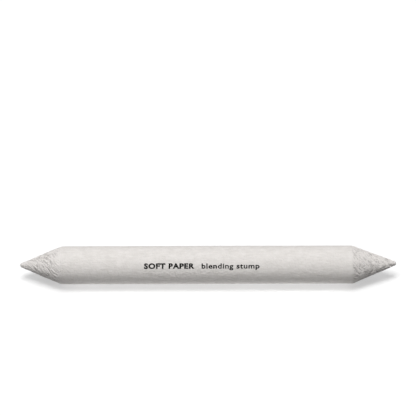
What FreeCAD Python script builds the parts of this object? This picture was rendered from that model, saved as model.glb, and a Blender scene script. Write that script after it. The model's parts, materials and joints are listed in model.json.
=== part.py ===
import FreeCAD, Part
import math
import os

import Sketcher

# Blending stump: a double-ended drawing tool wound from one web of soft felt paper.
#
# The web starts as a tight core roll and is wound round it turn by turn, with a film of paste
# between the turns. Every turn is a straight tube except over a short ramp beside the lap line,
# where it is drawn taut from the turn below onto its own radius. All the turns begin and end at the
# lap line, so each turn is one piece: the layer that peels off in one go round. A thin bead of paste
# seals the free edge of the cover turn. Both ends are then ground to blunt points, which cuts every
# turn back to its own place on the cone.
#
# The frame: X runs along the stump, Z is up, and the stump lies on the plane Z = 0 with the origin
# under its middle. A stump left to itself rolls until it rests on the narrow flat beside its lap
# line, between the free edge of the cover turn and the top of the ramp, so the lap line is on the
# underside and that flat lies level. Sizes are in millimetres and degrees.

SIZES = {
    "stump_length": 150.0,        # from tip to tip
    "core_diameter": 2.0,         # the tightly rolled start of the web
    "turn_count": 22,             # turns of paper over the core, the cover turn included
    "paper_thickness": 0.28,      # soft felt paper
    "paste_film": 0.02,           # dry paste between one turn and the next
    "ramp_angle": 17.0,           # part of a turn in which it climbs from the turn below
    "bead_height": 0.20,          # paste bead, up the free edge of the cover turn
    "bead_width": 0.60,           # paste bead, away from that edge
    "left_point_length": 16.4,    # from the left shoulder to the left tip
    "left_tip_radius": 1.05,
    "left_point_lean": 0.4,       # how far the ground point leans up from the axis
    "right_point_length": 17.5,
    "right_tip_radius": 1.05,
    "right_point_lean": 2.0,
    "grinding_allowance": 1.0,    # blank left past each tip, which grinding takes away
    "wheel_margin": 3.0,          # how far the grinding cut reaches past the blank
}

# What follows from the driving sizes, as expressions on the sheet.
PITCH = "(Sizes.paper_thickness + Sizes.paste_film)"
CORE_RADIUS = "(Sizes.core_diameter / 2)"
BARREL_RADIUS = f"({CORE_RADIUS} + Sizes.turn_count * {PITCH})"
RAMP_ANGLE = "Sizes.ramp_angle"
BLANK_LENGTH = "Sizes.stump_length + 2 * Sizes.grinding_allowance"
LAP_DIRECTION = "(270 - Sizes.ramp_angle / 2)"
REST_HEIGHT = f"{BARREL_RADIUS} * cos(Sizes.ramp_angle / 2 * 1 deg)"

# Sketcher's own numbers for a point of an element, and for the fixed elements of every sketch.
START, END, CENTRE = 1, 2, 3
ORIGIN, H_AXIS, V_AXIS = -1, -1, -2
UP = FreeCAD.Vector(0, 0, 1)


def make_sheet(doc):
    """The sheet of driving sizes: a name in column A, its value in column B."""
    sheet = doc.addObject("Spreadsheet::Sheet", "Sizes")
    for row, (name, value) in enumerate(SIZES.items(), start=1):
        sheet.set(f"A{row}", name)
        sheet.set(f"B{row}", str(value))
        sheet.setAlias(f"B{row}", name)
    doc.recompute()
    return sheet


def polar(radius, degrees):
    """The sketch point at this radius and angle."""
    turn = math.radians(degrees)
    return FreeCAD.Vector(radius * math.cos(turn), radius * math.sin(turn), 0)


def line(sketch, start, end, construction=False):
    return sketch.addGeometry(Part.LineSegment(start, end), construction)


def arc(sketch, centre, radius, first_degrees, last_degrees):
    circle = Part.Circle(centre, UP, radius)
    span = (math.radians(first_degrees), math.radians(last_degrees))
    return sketch.addGeometry(Part.ArcOfCircle(circle, *span), False)


def tie(sketch, kind, *elements):
    """A geometric constraint, such as Coincident."""
    sketch.addConstraint(Sketcher.Constraint(kind, *elements))


def join(sketch, *ends):
    """Joins the ends of elements in pairs: element, its end, the next element, its end."""
    for first, first_end, second, second_end in ends:
        tie(sketch, "Coincident", first, first_end, second, second_end)


def put_on_axis(sketch, *ends):
    """Holds ends of elements on the sketch's H axis."""
    for element, end in ends:
        tie(sketch, "PointOnObject", element, end, H_AXIS)


def measure(sketch, name, expression, kind, *elements):
    """A dimension that follows an expression on the sheet."""
    value = sketch.evalExpression(expression)
    if kind == "Angle":
        value = math.radians(value)
    index = sketch.addConstraint(Sketcher.Constraint(kind, *elements, value))
    sketch.renameConstraint(index, name)
    unit = " * 1 deg" if kind == "Angle" else ""
    sketch.setExpression(f"Constraints.{name}", expression + unit)


def new_sketch(body, name, plane_role):
    """A sketch attached flat to one of its own body's origin planes."""
    plane = next(part for part in body.Origin.OriginFeatures if part.Role == plane_role)
    sketch = body.newObject("Sketcher::SketchObject", name)
    sketch.AttachmentSupport = [(plane, "")]
    sketch.MapMode = "FlatFace"
    return sketch


def turn_sketch(sketch, degrees, x_offset="0"):
    """Turns a sketch in its plane and moves its origin along the plane's X, both by expressions."""
    place = FreeCAD.Vector(sketch.evalExpression(x_offset), 0, 0)
    rotation = FreeCAD.Rotation(UP, sketch.evalExpression(degrees))
    sketch.AttachmentOffset = FreeCAD.Placement(place, rotation)
    sketch.setExpression("AttachmentOffset.Base.x", x_offset)
    sketch.setExpression("AttachmentOffset.Rotation.Angle", degrees)


def draw_ramp_ray(sketch):
    """A construction ray from the axis towards the top of the ramp."""
    ramp_top = polar(1, sketch.evalExpression(RAMP_ANGLE))
    ray = line(sketch, polar(0, 0), ramp_top, construction=True)
    join(sketch, (ray, START, ORIGIN, START))
    measure(sketch, "ramp_angle", RAMP_ANGLE, "Angle", ray)
    return ray


def draw_core(sketch):
    """Section of the core roll: a disc whose edge steps down by one pitch at the lap line."""
    radius = sketch.evalExpression(CORE_RADIUS)
    step = sketch.evalExpression(PITCH)
    ramp = sketch.evalExpression(RAMP_ANGLE)
    climb = line(sketch, polar(radius - step, 0), polar(radius, ramp))
    round_side = arc(sketch, polar(0, 0), radius, ramp, 360)
    face = line(sketch, polar(radius, 0), polar(radius - step, 0))
    ray = draw_ramp_ray(sketch)

    join(sketch, (climb, END, round_side, START), (round_side, END, face, START),
         (face, END, climb, START), (round_side, CENTRE, ORIGIN, START),
         (ray, END, round_side, START))
    put_on_axis(sketch, (face, START), (face, END))
    measure(sketch, "radius", CORE_RADIUS, "Radius", round_side)
    measure(sketch, "foot", f"{CORE_RADIUS} - {PITCH}", "DistanceX", ORIGIN, START, climb, START)


def draw_turn(sketch, number):
    """Section of one turn of the web, from the lap line once round and back to it."""
    outer_radius = f"({CORE_RADIUS} + {number} * {PITCH})"
    inner_radius = f"({outer_radius} - Sizes.paper_thickness)"
    outer = sketch.evalExpression(outer_radius)
    inner = sketch.evalExpression(inner_radius)
    step = sketch.evalExpression(PITCH)
    ramp = sketch.evalExpression(RAMP_ANGLE)
    inner_climb = line(sketch, polar(inner - step, 0), polar(inner, ramp))
    inner_side = arc(sketch, polar(0, 0), inner, ramp, 360)
    last_edge = line(sketch, polar(inner, 0), polar(outer, 0))
    outer_side = arc(sketch, polar(0, 0), outer, ramp, 360)
    outer_climb = line(sketch, polar(outer, ramp), polar(outer - step, 0))
    first_edge = line(sketch, polar(outer - step, 0), polar(inner - step, 0))
    ray = draw_ramp_ray(sketch)

    join(sketch, (inner_climb, END, inner_side, START), (inner_side, END, last_edge, START),
         (last_edge, END, outer_side, END), (outer_side, START, outer_climb, START),
         (outer_climb, END, first_edge, START), (first_edge, END, inner_climb, START),
         (inner_side, CENTRE, ORIGIN, START), (outer_side, CENTRE, ORIGIN, START),
         (ray, END, outer_side, START))
    tie(sketch, "PointOnObject", inner_side, START, ray)
    put_on_axis(sketch, (last_edge, START), (last_edge, END), (first_edge, START), (first_edge, END))
    measure(sketch, "outer_radius", outer_radius, "Radius", outer_side)
    measure(sketch, "inner_radius", inner_radius, "Radius", inner_side)
    measure(sketch, "outer_foot", f"{outer_radius} - {PITCH}",
            "DistanceX", ORIGIN, START, first_edge, START)
    measure(sketch, "inner_foot", f"{inner_radius} - {PITCH}",
            "DistanceX", ORIGIN, START, first_edge, END)


def draw_bead(sketch):
    """Section of the paste bead: a wedge in the corner between the cover's free edge and its ramp."""
    corner_radius = f"({BARREL_RADIUS} - {PITCH})"
    corner = polar(sketch.evalExpression(corner_radius), 0)
    ramp_top = polar(sketch.evalExpression(BARREL_RADIUS), sketch.evalExpression(RAMP_ANGLE))
    toe = corner + (ramp_top - corner).normalize() * sketch.evalExpression("Sizes.bead_width")
    head = corner + polar(sketch.evalExpression("Sizes.bead_height"), 0)
    under_side = line(sketch, corner, toe)
    free_side = line(sketch, toe, head)
    edge_side = line(sketch, head, corner)
    ramp = line(sketch, corner, ramp_top, construction=True)
    ray = draw_ramp_ray(sketch)

    join(sketch, (under_side, END, free_side, START), (free_side, END, edge_side, START),
         (edge_side, END, under_side, START), (ramp, START, under_side, START),
         (ramp, END, ray, END))
    tie(sketch, "PointOnObject", under_side, END, ramp)
    put_on_axis(sketch, (edge_side, START), (edge_side, END))
    measure(sketch, "barrel_radius", BARREL_RADIUS, "Distance", ray)
    measure(sketch, "corner", corner_radius, "DistanceX", ORIGIN, START, under_side, START)
    measure(sketch, "bead_height", "Sizes.bead_height", "Distance", edge_side)
    measure(sketch, "bead_width", "Sizes.bead_width", "Distance", under_side)


def draw_grinding(sketch, side):
    """What the wheel takes off: everything outside the cone and its rounded tip.

    The sketch's origin is on the axis at the shoulder and its H axis runs to the tip.
    """
    length_name = f"Sizes.{side}_point_length"
    tip_name = f"Sizes.{side}_tip_radius"
    length = sketch.evalExpression(length_name)
    tip = sketch.evalExpression(tip_name)
    margin = sketch.evalExpression("Sizes.wheel_margin")
    barrel = sketch.evalExpression(BARREL_RADIUS)
    tip_centre = FreeCAD.Vector(length - tip, 0, 0)
    slant = math.hypot(tip_centre.x, barrel)
    half_angle = math.degrees(math.atan2(barrel, tip_centre.x) - math.asin(tip / slant))
    tangent_point = tip_centre + polar(tip, 90 - half_angle)
    run_out = margin / math.tan(math.radians(half_angle))
    outside = FreeCAD.Vector(-run_out, barrel + margin, 0)
    far_corner = FreeCAD.Vector(length + margin, barrel + margin, 0)
    far_foot = FreeCAD.Vector(length + margin, 0, 0)

    round_tip = arc(sketch, tip_centre, tip, 0, 90 - half_angle)
    cone = line(sketch, tangent_point, outside)
    top = line(sketch, outside, far_corner)
    far_side = line(sketch, far_corner, far_foot)
    along_axis = line(sketch, far_foot, FreeCAD.Vector(length, 0, 0))
    shoulder = sketch.addGeometry(Part.Point(FreeCAD.Vector(0, barrel, 0)), True)

    join(sketch, (cone, END, top, START), (top, END, far_side, START),
         (far_side, END, along_axis, START), (along_axis, END, round_tip, START))
    put_on_axis(sketch, (round_tip, CENTRE), (round_tip, START), (far_side, END))
    tie(sketch, "Tangent", round_tip, END, cone, START)
    tie(sketch, "PointOnObject", shoulder, START, V_AXIS)
    tie(sketch, "PointOnObject", shoulder, START, cone)
    tie(sketch, "Horizontal", top)
    tie(sketch, "Vertical", far_side)
    measure(sketch, "tip_radius", tip_name, "Radius", round_tip)
    measure(sketch, "tip_centre", f"{length_name} - {tip_name}",
            "DistanceX", ORIGIN, START, round_tip, CENTRE)
    measure(sketch, "barrel_radius", BARREL_RADIUS, "DistanceY", ORIGIN, START, shoulder, START)
    measure(sketch, "outside", f"{BARREL_RADIUS} + Sizes.wheel_margin",
            "DistanceY", ORIGIN, START, cone, END)
    measure(sketch, "reach", f"{length_name} + Sizes.wheel_margin",
            "DistanceX", ORIGIN, START, far_side, END)


def grind_point(body, side):
    """Grinds one end of the piece to its part of the left or right point."""
    sketch = new_sketch(body, f"{body.Name}_{side}_outline", "XZ_Plane")
    shoulder = f"Sizes.stump_length / 2 - Sizes.{side}_point_length"
    lean = f"Sizes.{side}_point_lean"
    if side == "left":
        shoulder = f"-({shoulder})"
        lean = f"180 - {lean}"
    turn_sketch(sketch, lean, shoulder)
    draw_grinding(sketch, side)

    groove = body.newObject("PartDesign::Groove", f"{body.Name}_{side}_grinding")
    groove.Profile = sketch
    groove.ReferenceAxis = (sketch, ["H_Axis"])
    groove.Angle = 360
    groove.Refine = True


def make_piece(doc, name, draw_section, *section_sizes):
    """One piece: its section, padded to the length of the blank, then ground at both ends.

    The H axis of every section points along the lap line's direction, below the axis.
    """
    body = doc.addObject("PartDesign::Body", name)
    body.Label = name
    section = new_sketch(body, f"{name}_section", "YZ_Plane")
    turn_sketch(section, LAP_DIRECTION)
    draw_section(section, *section_sizes)

    blank = body.newObject("PartDesign::Pad", f"{name}_blank")
    blank.Profile = section
    blank.SideType = "Symmetric"
    blank.setExpression("Length", BLANK_LENGTH)
    for side in ("left", "right"):
        grind_point(body, side)
    body.setExpression("Placement.Base.z", REST_HEIGHT)
    return body


def check_grinding(body):
    """Stops the build unless each feature after the blank took something away."""
    features = [part for part in body.Group if part.TypeId in ("PartDesign::Pad", "PartDesign::Groove")]
    for before, after in zip(features, features[1:]):
        if not after.Shape.Volume < before.Shape.Volume:
            raise RuntimeError(f"{after.Name} takes nothing off {body.Label}")


def check_document(doc, pieces):
    """Stops the build on a failed object, a loose sketch or a piece that is not one valid solid."""
    for part in doc.Objects:
        if "Invalid" in part.State or "Error" in part.State:
            raise RuntimeError(f"{part.Name} failed: {part.State}")
        if part.TypeId == "Sketcher::SketchObject" and not part.FullyConstrained:
            raise RuntimeError(f"{part.Name} is not fully constrained")
    for body in pieces:
        shape = body.Shape
        if shape.isNull() or not shape.isValid() or len(shape.Solids) != 1:
            raise RuntimeError(f"{body.Label} is not one valid solid")
        check_grinding(body)


def main():
    doc = FreeCAD.newDocument("blending_stump")
    sheet = make_sheet(doc)
    last = int(sheet.get("turn_count"))

    pieces = [make_piece(doc, "core_roll", draw_core)]
    for number in range(1, last):
        pieces.append(make_piece(doc, f"turn_{number:02d}", draw_turn, number))
    pieces.append(make_piece(doc, "cover_turn", draw_turn, last))
    pieces.append(make_piece(doc, "lap_paste", draw_bead))

    doc.recompute()
    check_document(doc, pieces)

    os.makedirs("parts", exist_ok=True)
    for body in pieces:
        body.Shape.exportStep(f"parts/{body.Label}.step")
        print(f"{body.Label}: {body.Shape.Volume:.2f} cubic millimetres")


main()
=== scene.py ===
import itertools
import json
import math
from dataclasses import dataclass

import bmesh
import bpy
import numpy as np
from mathutils import Matrix, Vector


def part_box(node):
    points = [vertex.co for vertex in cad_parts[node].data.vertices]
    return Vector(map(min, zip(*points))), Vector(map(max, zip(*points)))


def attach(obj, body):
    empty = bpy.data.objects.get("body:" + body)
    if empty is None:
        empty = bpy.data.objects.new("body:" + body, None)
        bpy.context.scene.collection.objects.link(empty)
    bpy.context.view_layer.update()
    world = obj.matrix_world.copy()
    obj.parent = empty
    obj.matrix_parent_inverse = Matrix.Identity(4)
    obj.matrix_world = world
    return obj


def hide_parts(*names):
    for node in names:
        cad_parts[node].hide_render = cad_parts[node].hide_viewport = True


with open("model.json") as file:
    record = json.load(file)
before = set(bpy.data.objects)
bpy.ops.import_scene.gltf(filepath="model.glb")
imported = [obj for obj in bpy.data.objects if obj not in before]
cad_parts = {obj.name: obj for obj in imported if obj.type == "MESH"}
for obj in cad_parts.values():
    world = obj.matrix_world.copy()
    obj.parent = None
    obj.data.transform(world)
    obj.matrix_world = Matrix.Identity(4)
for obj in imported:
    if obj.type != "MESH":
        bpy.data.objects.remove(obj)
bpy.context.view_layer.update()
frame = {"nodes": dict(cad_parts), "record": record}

# A paper blending stump: a web of soft felt paper wound into a barrel and ground to a blunt point
# at each end. Every turn of the web is modelled flat, as it was before winding, and then rolled up.
# Its ends are laid on the ground points, where the wheel has torn the paper into slanting streaks.

# ---------------------------------------------------------------- sizes, in metres and radians

MM = 0.001
FULL_TURN = 2 * math.pi
TOUCH = 1e-7                          # places closer than this are the same place

barrel = next(mount for mount in frame["record"]["mounts"] if mount["name"] == "barrel")
BARREL_RADIUS = barrel["dims"]["r_mm"] * MM
BARREL_MIDDLE = Vector(barrel["pos_m"])
HALF_BARREL = barrel["dims"]["length_mm"] * MM / 2

RAMP_ANGLE = math.radians(17)         # where each turn climbs from the turn below
LAP_DIRECTION = math.radians(270) - RAMP_ANGLE / 2
TIP_RADIUS = {-1: 1.05 * MM, 1: 1.05 * MM}
SHOULDER_ROUNDING = {-1: (0.14 * MM, 1.0 * MM), 1: (0.02 * MM, 0.4 * MM)}   # depth, reach
BEAD_WIDTH = 0.60 * MM
BEAD_HEIGHT = 0.20 * MM
BEAD_SIDES = 12
BEAD_CELLS = 300                      # mesh cells along the bead
BEAD_LUMPS = ((3.0 * MM, 0.30, 11), (0.9 * MM, 0.15, 12))   # size, share of the bead, noise seed
BEAD_SINK = 0.02 * MM                 # how far the bead soaks into the paper
BEAD_TAPER = 1.5 * MM                 # at each of its two ends
BEAD_END = 0.3                        # what the taper leaves of it

TURNS = sorted(name for name in frame["nodes"] if name.startswith("turn_"))
CELL = 0.125 * MM                     # mesh cells round the ground ends
RIM_CELLS = 6                         # mesh cells across the ground end of one turn
MEET_INSIDE = 2.0 * MM                # the ground outline is looked for from here in the barrel
MEET_BEYOND = 0.1 * MM                # to here past the tip
MEET_STEPS = 30                       # in halvings, which leave less than the touching distance
CORE_CELLS = 16
FEWEST_CELLS = 48                     # mesh cells round the smallest turns
SHARP_FOLD = 0.5                      # a mesh edge that folds more than this stays crisp
BARREL_CELL = 0.62 * MM               # mesh cells along the barrel

STREAK_ANGLE = math.radians(45)       # the wheel's scratches against the stump's axis
STREAK_WIDTH = 0.36 * MM
STREAK_LENGTH = 1.5 * MM
STREAK_STEPS = 7                      # samples along each streak
STREAK_SOFTNESS = 2.2                 # the smaller, the sharper the step from ridge to groove
STREAK_DEPTH = 0.18 * MM
STREAK_PAINTED_SHADE = 0.40                   # how far ridges and grooves move the painted shade from a half
CRUMB_SIZE = 0.24 * MM                # torn crumbs, drawn coarser than the real ones to show
FINE_CRUMB = 0.6                      # crumbs of half that size, against the larger ones
CRUMB_DEPTH = 0.11 * MM
# how far the crumbs move the same painted shade
CRUMB_PAINTED_SHADE = 0.35
TEAR_SINK = 0.14 * MM                 # the torn paper lies below the outline its fibres reach
TEAR_SIZE = 3.0 * MM                  # patches in which the paper tore more or less
TEAR_MEAN = 0.75
TEAR_SPREAD = 0.45
TEAR_FADE = 1.6 * MM                  # nearer to the axis than this the tearing is shallower
TEAR_AT_AXIS = 0.25
TEAR_START = {-1: 1.2 * MM, 1: 0.04 * MM}   # how far from each shoulder the tearing sets in
EDGE_DIP = 0.03 * MM                  # the ground edge of each turn, worn at its two corners

FELT_LUMP = 1.3 * MM                  # soft lumps of the felt on the barrel
FELT_DEPTH = 0.018 * MM
WAVE_LENGTH = 14 * MM                 # the winding is a little out of round
WAVE_DEPTH = 0.035 * MM

FIBRES = 4096                         # loose fibres in each lot, a power of two
FIBRE_THICKNESS = 0.032 * MM          # a real one is thinner, and wouldn't show
FIBRE_THICKNESSES = (0.6, 1.3)        # thinnest and thickest, against that
FIBRE_RINGS = 6
FIBRE_CREST = 0.7                     # where along itself a fibre stands highest
FIBRE_CURL = 0.35                     # sideways bend at the free end, against the fibre's length
FIBRE_WRIGGLE = 0.12
# Lengths; how steeply a fibre leaves the paper; and how far it turns from the wheel's streaks.
POINT_FIBRES = {"lengths": (0.25 * MM, 0.95 * MM), "lift": (0.02, 0.40), "stray": 0.5}
BARREL_FIBRES = {"lengths": (0.40 * MM, 1.50 * MM), "lift": (0.0, 0.03), "stray": 2}
RESTING_HEIGHT = 0.8 * MM             # below this the paper is pressed flat on the board

# Each line of print: its words, how far its strokes are thickened against its capitals' height,
# and how far it is widened.
PRINT = (("SOFT PAPER", 0.066, 1.18), ("blending stump", 0.040, 1.20))
PRINT_START = -25.3 * MM
PRINT_DIRECTION = math.radians(135)   # the words' centre line, round from +Y
CAP_HEIGHT = 1.98 * MM
FONT_CAPITAL = 0.70                   # the font's capital height at size 1
LETTER_SPACING = 1.10
WORD_GAP = 2.7 * MM
INK_FILM = 0.016 * MM
LETTER_TOUCH = 1e-6                   # corners of a letter closer than this are merged
INK_CUT = 0.3 * MM                    # the letters are cut this fine to bend round the barrel
INK_CUTS = 6                          # on each side of the centre line, past the lowest letters


@dataclass
class GroundPoint:
    """One ground end: side is -1 at the left and 1 at the right, and axis runs out to the tip."""
    side: int
    shoulder: Vector
    axis: Vector
    length: float
    tip_radius: float
    half_angle: float


def find_point(side):
    """The ground point on one side, from the barrel's mount and the core's outermost corner."""
    corners = frame["nodes"]["core_roll"].data.vertices
    tip = max((corner.co for corner in corners), key=lambda place: side * place.x).copy()
    tip_radius = TIP_RADIUS[side]
    ball_centre = tip - Vector((side * tip_radius, 0, 0))
    shoulder = BARREL_MIDDLE + Vector((side * HALF_BARREL, 0, 0))
    reach = ball_centre - shoulder
    slant = math.hypot(reach.length, BARREL_RADIUS)
    half_angle = math.atan2(BARREL_RADIUS, reach.length) - math.asin(tip_radius / slant)
    return GroundPoint(side, shoulder, reach.normalized(), reach.length + tip_radius,
                       tip_radius, half_angle)


POINTS = (find_point(-1), find_point(1))


# ---------------------------------------------------------------- relief, and painted shade

LATTICE = (73856093, 19349663, 83492791)   # primes that tell the cells of the noise apart


def scatter(key):
    """An even scatter of values from -1 to 1 for whole-number keys, the same in every run."""
    key = (key ^ (key >> 15)) * 0x2C1B3C6D & 0xFFFFFFFF
    key = (key ^ (key >> 12)) * 0x297A2D39 & 0xFFFFFFFF
    return ((key ^ (key >> 15)) & 0xFFFF) / 32767.5 - 1


def noise(places, size, seed):
    """Smooth noise from -1 to 1 at each place, with lumps of about the given size."""
    scaled = places / size + seed * 17.31
    cell = np.floor(scaled).astype(np.int64)
    part = scaled - cell
    ease = part * part * (3 - 2 * part)
    total = np.zeros(len(places))
    for corner in itertools.product((0, 1), repeat=3):
        corner = np.array(corner)
        key = ((cell + corner) * LATTICE).sum(axis=1) & 0xFFFFFFFF
        total += scatter(key) * np.where(corner, ease, 1 - ease).prod(axis=1)
    return total


def unit(vectors):
    """The vectors at length 1, and a zero vector left at zero."""
    return vectors / np.maximum(np.linalg.norm(vectors, axis=1, keepdims=True), 1e-12)


def from_axis(places):
    """Vector from the barrel's axis out to each place."""
    return (places - np.array(BARREL_MIDDLE)) * (0, 1, 1)


def streak_direction(places, normals):
    """The wheel's direction on the surface: a screw line of the same hand at both ends."""
    along_x = np.array((1.0, 0.0, 0.0))
    generator = unit(along_x - normals * normals[:, :1])
    around = unit(np.cross(along_x, from_axis(places)))
    return generator * math.cos(STREAK_ANGLE) + around * math.sin(STREAK_ANGLE)


def ground_relief_and_shade(places, normals):
    """Height of the torn paper over the ground outline, and its painted shade, 0 in a groove to 1."""
    direction = streak_direction(places, normals)
    steps = np.linspace(-0.5, 0.5, STREAK_STEPS) * STREAK_LENGTH
    streak = sum(noise(places + direction * step, STREAK_WIDTH, 1) for step in steps)
    streak = np.tanh(streak / STREAK_SOFTNESS)
    crumb = noise(places, CRUMB_SIZE, 2) + FINE_CRUMB * noise(places, CRUMB_SIZE / 2, 3)
    torn = TEAR_MEAN + TEAR_SPREAD * noise(places, TEAR_SIZE, 4)
    fade = np.clip(np.linalg.norm(from_axis(places), axis=1) / TEAR_FADE, TEAR_AT_AXIS, 1)
    height = (streak * STREAK_DEPTH + crumb * CRUMB_DEPTH - TEAR_SINK) * torn * fade
    # Painted shade: the lower the streaks and crumbs lie, the darker the paper is painted there.
    shade = np.clip(0.5 + STREAK_PAINTED_SHADE * streak + CRUMB_PAINTED_SHADE * crumb, 0, 1)
    return height, shade


def barrel_relief(places):
    """Height of the felt over the barrel's true cylinder, with both shoulders worn round."""
    stretched = places * (0.4, 1, 1)
    height = FELT_DEPTH * noise(stretched, FELT_LUMP, 5)
    height += WAVE_DEPTH * noise(stretched, WAVE_LENGTH, 6)
    for point in POINTS:
        height -= shoulder_drop(point, places[:, 0] - point.shoulder.x)
    return height


def shoulder_drop(point, from_shoulder):
    """How far the surface is worn down at a distance from the shoulder, on either side of it."""
    depth, reach = SHOULDER_ROUNDING[point.side]
    return depth * np.exp(-np.abs(from_shoulder) / reach)


# ---------------------------------------------------------------- winding and grinding

def ground_outline(point, along):
    """Radius of the cone and its round tip, at a distance along the point's axis."""
    ball = point.length - point.tip_radius
    cone = BARREL_RADIUS - along * math.tan(point.half_angle)
    cap = np.sqrt(np.maximum(point.tip_radius ** 2 - (along - ball) ** 2, 0))
    meeting = ball + point.tip_radius * math.sin(point.half_angle)
    return np.where(along < meeting, cone, cap)


def along_and_out(point, places):
    """Distance of each place along the point's axis, and the vector out from that axis."""
    axis = np.array(point.axis)
    reach = places - np.array(point.shoulder)
    along = reach @ axis
    return along, reach - along[:, None] * axis


def meet_ground(point, places):
    """Moves each place along X until it lies on the ground outline. Returns it with its normal."""
    low = np.full(len(places), -MEET_INSIDE)
    high = np.full(len(places), point.length + MEET_BEYOND)
    met = places.copy()
    for _ in range(MEET_STEPS):
        middle = (low + high) / 2
        met[:, 0] = point.shoulder.x + point.side * middle
        along, out = along_and_out(point, met)
        inside = np.linalg.norm(out, axis=1) < ground_outline(point, along)
        low = np.where(inside, middle, low)
        high = np.where(inside, high, middle)
    ball = point.length - point.tip_radius
    lean = np.clip((along - ball) / point.tip_radius, math.sin(point.half_angle), 1)[:, None]
    return met, unit(lean * np.array(point.axis) + np.sqrt(1 - lean ** 2) * unit(out))


def wound_radius(radius, turned, pitch):
    """Radius of a wound surface: a chord over the ramp, from one pitch below, then the radius."""
    foot_x = radius - pitch
    top_x = radius * math.cos(RAMP_ANGLE)
    top_y = radius * math.sin(RAMP_ANGLE)
    crossing = top_y * np.cos(turned) - (top_x - foot_x) * np.sin(turned)
    chord = foot_x * top_y / np.where(turned < RAMP_ANGLE, crossing, 1)
    return np.where(turned < RAMP_ANGLE, chord, radius)


def wound_place(x, turned, radius):
    """A place on the roll, from its X, its angle past the lap line and its distance out."""
    heading = LAP_DIRECTION + turned
    return np.column_stack((x, BARREL_MIDDLE.y + radius * np.cos(heading),
                            BARREL_MIDDLE.z + radius * np.sin(heading)))


def read_places(mesh):
    """The places of a mesh's vertices, one to a row."""
    flat = np.zeros(len(mesh.vertices) * 3)
    mesh.vertices.foreach_get("co", flat)
    return flat.reshape(-1, 3)


def flat_turn(inner, outer, rim_cells, barrel_cells):
    """One turn of the web laid flat: X along the stump, Y the angle it will turn, Z its radius."""
    left, right = (point.shoulder.x for point in POINTS)
    bm = bmesh.new()
    round_cells = max(FEWEST_CELLS, round(FULL_TURN * outer / CELL))
    bmesh.ops.create_grid(bm, x_segments=rim_cells, y_segments=round_cells, size=0.5)
    bmesh.ops.rotate(bm, verts=bm.verts, matrix=Matrix.Rotation(math.radians(90), 3, "Y"))
    bmesh.ops.scale(bm, verts=bm.verts, vec=(1, FULL_TURN, outer - inner))
    bmesh.ops.translate(bm, verts=bm.verts, vec=(left, FULL_TURN / 2, (inner + outer) / 2))
    pushed = bmesh.ops.extrude_face_region(bm, geom=bm.faces[:])["geom"]
    moved = [part for part in pushed if isinstance(part, bmesh.types.BMVert)]
    bmesh.ops.translate(bm, verts=moved, vec=(right - left, 0, 0))
    bmesh.ops.recalc_face_normals(bm, faces=bm.faces)
    for edge in bm.edges:
        edge.smooth = edge.calc_face_angle() < SHARP_FOLD
    for face in bm.faces:
        face.smooth = True
        face.material_index = int(abs(face.normal.x) > 0.5)
    if barrel_cells > 1:
        wall = [edge for edge in bm.edges
                if abs(edge.verts[0].co.x - edge.verts[1].co.x) > HALF_BARREL
                and min(corner.co.z for corner in edge.verts) > outer - TOUCH]
        bmesh.ops.subdivide_edges(bm, edges=wall, cuts=barrel_cells - 1, use_grid_fill=True)
    return bm


def grind_end(point, places, across):
    """Lays one end of a turn on its ground point. Across runs from 0 to 1 through the turn.

    Returns the places, their normals, their painted shades and how far the paper is torn there, 0 to
    1.
    """
    met, normals = meet_ground(point, places)
    height, shade = ground_relief_and_shade(met, normals)
    down_cone = (BARREL_RADIUS - np.linalg.norm(from_axis(met), axis=1)) / math.sin(point.half_angle)
    torn = 1 - np.exp(-np.maximum(down_cone, 0) / TEAR_START[point.side])
    height = height * torn - EDGE_DIP * (np.abs(across - 0.5) > 0.49)
    height -= shoulder_drop(point, down_cone)
    return met + normals * height[:, None], normals, 1 - (1 - shade) * torn, torn


def grind_ends(flat, places, across, share):
    """Lays both ends of a rolled-up piece on the ground points, which changes its places.

    Returns the painted shade of every place and, for each side, the places at that end, their
    normals and the weight with which a fibre grows there.
    """
    shade = np.ones(len(places))
    spots = {}
    for point in POINTS:
        end = np.abs(flat[:, 0] - point.shoulder.x) < TOUCH
        places[end], normals, shade[end], torn = grind_end(point, places[end], across[end])
        spots[point.side] = (places[end], normals, torn * share[end])
    return shade, spots


def write_places(mesh, places, shade):
    """Puts the places in the mesh, and their painted shades in the attribute the ground paper reads.
    """
    mesh.vertices.foreach_set("co", places.ravel())
    # The attribute holds painted shade, darkest in the grooves.
    painted_groove_shade = mesh.attributes.new("painted_groove_shade", "FLOAT", "POINT")
    painted_groove_shade.data.foreach_set("value", shade)


def roll_up(mesh, pitch, inner, outer):
    """Rolls a flat turn up and grinds its ends. Returns the spots where fibres grow."""
    flat = read_places(mesh)
    places = wound_place(flat[:, 0], flat[:, 1], wound_radius(flat[:, 2], flat[:, 1], pitch))
    across = (flat[:, 2] - inner) / (outer - inner)
    shade, spots = grind_ends(flat, places, across, np.ones(len(flat)))
    if outer > BARREL_RADIUS - pitch / 2:
        between = np.abs(flat[:, 0] - BARREL_MIDDLE.x) < HALF_BARREL - TOUCH
        wall = np.flatnonzero(between & (flat[:, 2] > outer - TOUCH))
        # Blender numbers these in a new order at each run, and the fibres need the same one.
        wall = wall[np.lexsort((flat[wall, 0], flat[wall, 1]))]
        out = unit(from_axis(places[wall]))
        places[wall] += out * barrel_relief(places[wall])[:, None]
        spots["barrel"] = (places[wall], out, np.ones(len(wall)))
    write_places(mesh, places, shade)
    return spots


# ---------------------------------------------------------------- pieces

def finish_piece(name, bm, materials, node=None):
    """Makes an object of a bmesh. It rides on the body, and may stand for a CAD node."""
    mesh = bpy.data.meshes.new(name)
    bmesh.ops.recalc_face_normals(bm, faces=bm.faces)
    bm.to_mesh(mesh)
    bm.free()
    piece = bpy.data.objects.new(name, mesh)
    bpy.context.scene.collection.objects.link(piece)
    for material in materials:
        mesh.materials.append(material)
    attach(piece, "root")
    if node:
        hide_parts(node)
    return piece


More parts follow.
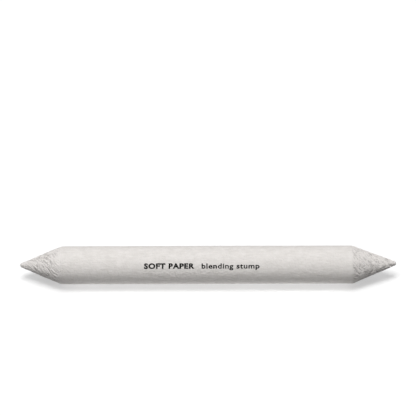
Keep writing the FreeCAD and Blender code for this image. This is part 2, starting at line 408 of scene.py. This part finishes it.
def node_radius(node):
    """Outer radius of a turn or of the core, from its CAD box."""
    low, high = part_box(node)
    return (high.y - low.y) / 2


def make_turn(name, node, outer, pitch, barrel_cells=1):
    """One turn of the web. Returns the spots of its surface where fibres grow."""
    bm = flat_turn(outer - pitch, outer, RIM_CELLS, barrel_cells)
    piece = finish_piece(name, bm, (felt_paper, ground_paper), node)
    return roll_up(piece.data, pitch, outer - pitch, outer)


def make_core(outer, pitch):
    """The tight start of the roll, whose two ends are the round tips of the stump."""
    bm = flat_turn(0, outer, CORE_CELLS, 1)
    piece = finish_piece("core", bm, (felt_paper, ground_paper), "core_roll")
    flat = read_places(piece.data)
    flat[:, 2] *= wound_radius(outer, flat[:, 1], pitch) / outer
    places = wound_place(flat[:, 0], flat[:, 1], flat[:, 2])
    shade, spots = grind_ends(flat, places, np.full(len(flat), 0.5), flat[:, 2] / outer)
    write_places(piece.data, places, shade)
    close_axis(piece.data)
    return spots


def close_axis(mesh):
    """Merges the core's vertices that met on its axis."""
    bm = bmesh.new()
    bm.from_mesh(mesh)
    bmesh.ops.remove_doubles(bm, verts=bm.verts, dist=TOUCH)
    bmesh.ops.dissolve_degenerate(bm, edges=bm.edges, dist=TOUCH)
    bmesh.ops.recalc_face_normals(bm, faces=bm.faces)
    bm.to_mesh(mesh)
    bm.free()


def make_bead(pitch):
    """Dry paste squeezed out along the cover's free edge, in the corner that the edge makes."""
    bm = bmesh.new()
    length = 2 * HALF_BARREL
    bmesh.ops.create_cone(bm, cap_ends=True, segments=BEAD_SIDES, radius1=1, radius2=1,
                          depth=length)
    bmesh.ops.rotate(bm, verts=bm.verts, matrix=Matrix.Rotation(math.radians(90), 3, "Y"))
    long_edges = [edge for edge in bm.edges if edge.verts[0].co.x * edge.verts[1].co.x < 0]
    bmesh.ops.subdivide_edges(bm, edges=long_edges, cuts=BEAD_CELLS - 1, use_grid_fill=True)
    for face in bm.faces:
        face.smooth = True
    piece = finish_piece("paste_bead", bm, (paste,), "lap_paste")
    flat = read_places(piece.data)
    line = flat * (1, 0, 0)
    swell = 1 + sum(share * noise(line, size, seed) for size, share, seed in BEAD_LUMPS)
    swell *= np.clip((length / 2 - np.abs(flat[:, 0])) / BEAD_TAPER, BEAD_END, 1)
    turned = (flat[:, 1] + 1) / 2 * swell * BEAD_WIDTH / BARREL_RADIUS
    height = np.where(flat[:, 2] > 0, flat[:, 2] * BEAD_HEIGHT * swell, -BEAD_SINK)
    height *= np.where(flat[:, 1] < 0, 1, 1 - flat[:, 1] ** 2)
    places = wound_place(flat[:, 0] + BARREL_MIDDLE.x, turned,
                         wound_radius(BARREL_RADIUS, turned, pitch) + height)
    piece.data.vertices.foreach_set("co", places.ravel())


def strands(count):
    """A bmesh of many equal fibres, each a thin three-sided taper of length 1 along Z."""
    bm = bmesh.new()
    bmesh.ops.create_cone(bm, cap_ends=True, segments=3, radius1=0.5, radius2=0.2, depth=1)
    bmesh.ops.translate(bm, verts=bm.verts, vec=(0, 0, 0.5))
    sides = [edge for edge in bm.edges if edge.calc_length() > 0.9]
    bmesh.ops.subdivide_edges(bm, edges=sides, cuts=FIBRE_RINGS - 2, use_grid_fill=True)
    for face in bm.faces:
        face.smooth = True
    while len(bm.verts) < count * 3 * FIBRE_RINGS:
        bmesh.ops.duplicate(bm, geom=bm.verts[:] + bm.edges[:] + bm.faces[:])
    return bm


def make_fibres(name, seed, spots, slot, lengths, lift, stray):
    """Loose fibres, rooted at random spots of the paper and combed along the wheel's streaks."""
    places, normals, weight = spots
    draw = np.random.default_rng(seed)
    piece = finish_piece(name, strands(FIBRES), (fuzz,))
    flat = read_places(piece.data).reshape(FIBRES, -1, 3)
    chance = weight * (places[:, 2] > RESTING_HEIGHT)
    spot = draw.choice(len(places), FIBRES, p=chance / chance.sum())
    normal = normals[spot]
    root = places[spot] - normal * FIBRE_THICKNESS / 2
    heading = streak_direction(root, normal) * draw.choice((-1, 1), (FIBRES, 1))
    swerve = draw.normal(0, stray, (FIBRES, 1))
    heading = heading * np.cos(swerve) + np.cross(normal, heading) * np.sin(swerve)
    beside = np.cross(normal, heading)
    length = draw.uniform(*lengths, (FIBRES, 1, 1))
    thick = FIBRE_THICKNESS * draw.uniform(*FIBRE_THICKNESSES, (FIBRES, 1, 1))
    rise = draw.uniform(*lift, (FIBRES, 1, 1))
    curl = draw.normal(0, FIBRE_CURL, (FIBRES, 1, 1))
    wriggle = draw.normal(0, FIBRE_WRIGGLE, (FIBRES, 1, 1))
    travel = flat[:, :, 2:]
    aside = curl * travel ** 2 + wriggle * np.sin(FULL_TURN * travel)
    arch = rise * travel * (2 * FIBRE_CREST - travel)
    bent = root[:, None] + heading[:, None] * travel * length
    bent += normal[:, None] * (arch * length + flat[:, :, :1] * thick)
    bent += beside[:, None] * (aside * length + flat[:, :, 1:2] * thick)
    piece.data.vertices.foreach_set("co", bent.ravel())


def set_words(words, boldness):
    """A flat mesh of words with their first letter at X 0 and capitals one cap height tall."""
    curve = bpy.data.curves.new(words, "FONT")
    curve.body = words
    curve.size = CAP_HEIGHT / FONT_CAPITAL
    curve.offset = boldness * CAP_HEIGHT
    curve.space_character = LETTER_SPACING
    curve.resolution_u = 4
    holder = bpy.data.objects.new(words, curve)
    mesh = bpy.data.meshes.new_from_object(holder)
    bpy.data.objects.remove(holder)
    bpy.data.curves.remove(curve)
    return mesh


def make_print():
    """Plain trade words, stamped in black ink along the barrel."""
    bm = bmesh.new()
    start = PRINT_START
    for words, boldness, widen in PRINT:
        mesh = set_words(words, boldness)
        place = Matrix.Translation((start, -CAP_HEIGHT / 2, 0))
        mesh.transform(place @ Matrix.Diagonal((widen, 1, 1, 1)))
        bm.from_mesh(mesh)
        start = max(corner.co.x for corner in bm.verts) + WORD_GAP
        bpy.data.meshes.remove(mesh)
    bmesh.ops.remove_doubles(bm, verts=bm.verts, dist=LETTER_TOUCH)
    for step in range(-INK_CUTS, INK_CUTS + 1):
        bmesh.ops.bisect_plane(bm, geom=bm.verts[:] + bm.edges[:] + bm.faces[:], dist=TOUCH,
                               plane_co=(0, step * INK_CUT, 0), plane_no=(0, 1, 0))
    raised = bmesh.ops.extrude_face_region(bm, geom=bm.faces[:])["geom"]
    top = [part for part in raised if isinstance(part, bmesh.types.BMVert)]
    bmesh.ops.translate(bm, verts=top, vec=(0, 0, 1))
    piece = finish_piece("print", bm, (ink,))
    flat = read_places(piece.data)
    turned = PRINT_DIRECTION - LAP_DIRECTION - flat[:, 1] / BARREL_RADIUS
    places = wound_place(flat[:, 0], turned, BARREL_RADIUS)
    lift = barrel_relief(places) + INK_FILM * (2 * flat[:, 2] - 1)
    places += unit(from_axis(places)) * lift[:, None]
    piece.data.vertices.foreach_set("co", places.ravel())


# ---------------------------------------------------------------- materials

def linear(hex_colour):
    """An sRGB hex colour as linear red, green, blue and alpha."""
    channels = [int(hex_colour[i:i + 2], 16) / 255 for i in (1, 3, 5)]
    return [c / 12.92 if c <= 0.04045 else ((c + 0.055) / 1.055) ** 2.4 for c in channels] + [1]


def add(tree, kind, inputs=(), **settings):
    """Adds a node with its settings, and sets or links its inputs."""
    made = tree.nodes.new(kind)
    for name, value in settings.items():
        setattr(made, name, value)
    for name, value in dict(inputs).items():
        if isinstance(value, bpy.types.NodeSocket):
            tree.links.new(value, made.inputs[name])
        else:
            made.inputs[name].default_value = value
    return made


def new_material(name, **shader_values):
    """A material with its main shader's sockets set, each named with _ for a space."""
    material = bpy.data.materials.new(name)
    material.use_nodes = True
    shader = material.node_tree.nodes["Principled BSDF"]
    for socket, value in shader_values.items():
        shader.inputs[socket.replace("_", " ")].default_value = value
    return material, material.node_tree, shader


CLOUD_SIZE = 2.4 * MM                 # where the pulp lay thicker on the felt
GRAIN_SIZE = 0.55 * MM                # bundles of fibres across the stump
GRAIN_STRETCH = 0.16                  # the bundles lie along it, and are this much stretched out
FLECK_SIZE = 0.32 * MM                # single flecks
FLECK_DARK = 1.15                     # the paper is darkest where the three add up to this
FLECK_LIGHT = 1.85                    # and lightest where they add up to this
# The tooth of the felt, as its size and depth. Real felt paper has a finer and shallower one, which
# is too fine to show, so it is drawn as coarse as this. So are the grain and the fleck above.
WOUND_TOOTH = (0.8 * MM, 0.34 * MM)
GROUND_TOOTH = (0.5 * MM, 0.30 * MM)


def felt_colour(tree, place, light, dark):
    """Unsized pulp: soft clouds where it lay thicker on the felt, and a fine fleck of fibres."""
    drawn_out = add(tree, "ShaderNodeMapping", {"Vector": place, "Scale": (GRAIN_STRETCH, 1, 1)})
    lumps = []
    for vector, size, detail in ((place, CLOUD_SIZE, 3), (drawn_out.outputs[0], GRAIN_SIZE, 2),
                                 (place, FLECK_SIZE, 2)):
        lump = add(tree, "ShaderNodeTexNoise", {"Vector": vector, "Scale": 1 / size,
                                                "Detail": detail})
        lumps.append(lump.outputs["Fac"])
    coarse = add(tree, "ShaderNodeMath", {0: lumps[0], 1: lumps[1]}, operation="ADD")
    total = add(tree, "ShaderNodeMath", {0: coarse.outputs[0], 1: lumps[2]}, operation="ADD")
    spread = add(tree, "ShaderNodeMapRange", {"Value": total.outputs[0], "From Min": FLECK_DARK,
                                              "From Max": FLECK_LIGHT})
    mix = add(tree, "ShaderNodeMix", {0: spread.outputs[0], 6: linear(dark), 7: linear(light)},
              data_type="RGBA")
    return mix.outputs[2]


def felt_bump(tree, place, shader, size, depth):
    """The tooth of the paper, as bump."""
    tooth = add(tree, "ShaderNodeTexNoise", {"Vector": place, "Scale": 1 / size, "Detail": 4})
    bump = add(tree, "ShaderNodeBump", {"Height": tooth.outputs["Fac"], "Distance": depth})
    tree.links.new(bump.outputs[0], shader.inputs["Normal"])


def make_felt_paper():
    """Felt paper as it comes off the web: matt and soft, with a faint bloom from loose fibre ends."""
    material, tree, shader = new_material("felt_paper_wound", Roughness=0.92, IOR=1.5,
                                          Specular_IOR_Level=0.25, Sheen_Weight=0.08,
                                          Sheen_Roughness=0.6)
    place = add(tree, "ShaderNodeTexCoord").outputs["Object"]
    tree.links.new(felt_colour(tree, place, "#e8e4e1", "#dad6d2"), shader.inputs["Base Color"])
    felt_bump(tree, place, shader, *WOUND_TOOTH)
    return material


def make_ground_paper():
    """The same paper torn open by the wheel: rough and crumbly, with shade painted down in its
    grooves.
    """
    material, tree, shader = new_material("felt_paper_ground", Roughness=0.95, IOR=1.5,
                                          Specular_IOR_Level=0.2, Sheen_Weight=0.1,
                                          Sheen_Roughness=0.6)
    place = add(tree, "ShaderNodeTexCoord").outputs["Object"]
    paper = felt_colour(tree, place, "#f0ece9", "#e4e0dd")
    painted_groove_shade = add(tree, "ShaderNodeAttribute", attribute_name="painted_groove_shade").outputs["Fac"]
    depth = add(tree, "ShaderNodeMapRange", {"Value": painted_groove_shade, "From Min": 0.0, "From Max": 0.5})
    # The groove colour is painted shade, mixed in where the grooves lie deepest.
    mix = add(tree, "ShaderNodeMix", {0: depth.outputs[0], 6: linear("#b0aca9"), 7: paper},
              data_type="RGBA")
    tree.links.new(mix.outputs[2], shader.inputs["Base Color"])
    felt_bump(tree, place, shader, *GROUND_TOOTH)
    return material


def make_fuzz():
    """Single fibres torn loose: matt, and as pale as the paper's lightest flecks."""
    material, _, _ = new_material("paper_fibre_torn", Base_Color=linear("#e6e3e0"), Roughness=0.9)
    return material


def make_paste():
    """Starch paste that dried in the open: off-white, hard, and smoother than the paper."""
    material, tree, shader = new_material("starch_paste_dry", Roughness=0.5, IOR=1.53)
    place = add(tree, "ShaderNodeTexCoord").outputs["Object"]
    tree.links.new(felt_colour(tree, place, "#e0dace", "#d2cabb"), shader.inputs["Base Color"])
    return material


def make_ink():
    """Stamping ink sunk into the felt: near black and matt, with the felt's own faint fleck."""
    material, tree, shader = new_material("ink_stamped_dry", Roughness=0.8, IOR=1.5,
                                          Specular_IOR_Level=0.2)
    place = add(tree, "ShaderNodeTexCoord").outputs["Object"]
    tree.links.new(felt_colour(tree, place, "#121212", "#080808"), shader.inputs["Base Color"])
    return material


# ---------------------------------------------------------------- the stage

CAMERA_ELEVATION = math.radians(46)
CAMERA_ROLL = math.radians(-0.16)
LENS = 135                            # millimetres, as the film's width
FILM_WIDTH = 36
VIEW_WIDTH = 166.2 * MM               # what the frame takes in at the stump
STUMP_BELOW_MIDDLE = 22.74 * MM


def make_camera():
    """Looks along +Y from above with a long lens, with the stump below the middle of the frame."""
    lens = bpy.data.cameras.new("camera")
    lens.lens = LENS
    lens.sensor_width = FILM_WIDTH
    camera = bpy.data.objects.new("camera", lens)
    turn = Matrix.Rotation(math.radians(90) - CAMERA_ELEVATION, 4, "X")
    distance = VIEW_WIDTH * LENS / FILM_WIDTH
    stump = Vector((0, 0, BARREL_MIDDLE.z))
    place = stump + turn @ Vector((0, STUMP_BELOW_MIDDLE, distance))
    camera.matrix_world = (Matrix.Translation(place) @ turn
                           @ Matrix.Rotation(CAMERA_ROLL, 4, "Z"))
    bpy.context.scene.collection.objects.link(camera)
    bpy.context.scene.camera = camera


# Each light: its elevation, turning up from -Y over the stump to +Y, how far it stands to the side
# for each metre of distance, that distance, its width and depth, and its strength. For the four far
# lights the strength is about how bright each makes a white surface that faces it. The two lamps
# under the board are strips close to the stump, and stand for what the board throws back at it.
LIGHTS = {
    "key": (86, -0.08, 1.0, 0.34, 0.50, 0.92),
    "back": (130, 0, 1.0, 0.8, 0.4, 0.13),
    "rear": (166, 0, 1.0, 0.8, 0.3, 0.13),
    "front": (12, 0, 1.0, 0.8, 0.3, 0.23),
    "board_front": (-47, 0, 0.0155, 0.118, 0.003, 1.6),
    "board_rear": (-135, 0, 0.0155, 0.118, 0.003, 0.5),
}
WORLD_STRENGTH = 0.05
BOARD_REACH = 0.25
BOARD_GLOW = 0.455
COVE_RADIUS = 4
COVE_GLOW = 1.1


def make_light(name, elevation, aside, distance, width, depth, strength):
    """A softbox whose energy gives the asked brightness at the stump."""
    turned = math.radians(elevation)
    direction = Vector((aside, -math.cos(turned), math.sin(turned))).normalized()
    lamp = bpy.data.lights.new(name, "AREA")
    lamp.shape = "RECTANGLE"
    lamp.size = width
    lamp.size_y = depth
    lamp.energy = strength * (math.pi * distance) ** 2
    light = bpy.data.objects.new(name, lamp)
    light.location = BARREL_MIDDLE + direction * distance
    light.rotation_euler = direction.to_track_quat("Z", "Y").to_euler()
    bpy.context.scene.collection.objects.link(light)


def stage_piece(name, bm, finish, **shader_values):
    """Part of the stage, which the camera sees but which throws no light on the stump."""
    mesh = bpy.data.meshes.new(name)
    bm.to_mesh(mesh)
    bm.free()
    piece = bpy.data.objects.new(name, mesh)
    bpy.context.scene.collection.objects.link(piece)
    material, _, _ = new_material(finish, Roughness=1, Specular_IOR_Level=0,
                                  Emission_Color=linear("#ffffff"), **shader_values)
    mesh.materials.append(material)
    piece.visible_diffuse = False
    piece.visible_glossy = False
    piece.visible_shadow = False


def make_stage():
    """A matt white board, lit from inside so that it stays white, in a plain white cove."""
    board = bmesh.new()
    bmesh.ops.create_grid(board, x_segments=1, y_segments=1, size=BOARD_REACH)
    stage_piece("white_board", board, "acrylic_opal_sanded", Base_Color=linear("#c7c7c7"),
                Emission_Strength=BOARD_GLOW)
    cove = bmesh.new()
    bmesh.ops.create_uvsphere(cove, u_segments=32, v_segments=16, radius=COVE_RADIUS)
    stage_piece("white_cove", cove, "acrylic_opal_lit", Base_Color=linear("#000000"),
                Emission_Strength=COVE_GLOW)


def make_studio():
    """The lights, in a dim white surround, with colours shown plainly."""
    world = bpy.data.worlds.new("studio")
    bpy.context.scene.world = world
    world.use_nodes = True
    background = world.node_tree.nodes["Background"]
    background.inputs["Color"].default_value = linear("#ffffff")
    background.inputs["Strength"].default_value = WORLD_STRENGTH
    bpy.context.scene.view_settings.view_transform = "Standard"
    for name, facts in LIGHTS.items():
        make_light(name, *facts)


# ---------------------------------------------------------------- the stump

felt_paper = make_felt_paper()
ground_paper = make_ground_paper()
fuzz = make_fuzz()
paste = make_paste()
ink = make_ink()

first = node_radius(TURNS[0])
pitch = (node_radius(TURNS[-1]) - first) / (len(TURNS) - 1)
grown = [make_core(first - pitch, pitch)]
for node in TURNS:
    name = node.replace("turn", "layer")
    grown.append(make_turn(name, node, node_radius(node), pitch))
grown.append(make_turn("cover", "cover_turn", BARREL_RADIUS, pitch,
                       round(2 * HALF_BARREL / BARREL_CELL)))
make_bead(pitch)
make_print()
for side, name, seed in ((-1, "fibres_left", 11), (1, "fibres_right", 12)):
    spots = [np.concatenate(parts) for parts in zip(*(turn[side] for turn in grown))]
    make_fibres(name, seed, spots, "felt_paper", **POINT_FIBRES)
make_fibres("fibres_barrel", 13, grown[-1]["barrel"], "cover_paper", **BARREL_FIBRES)

make_camera()
make_stage()
make_studio()
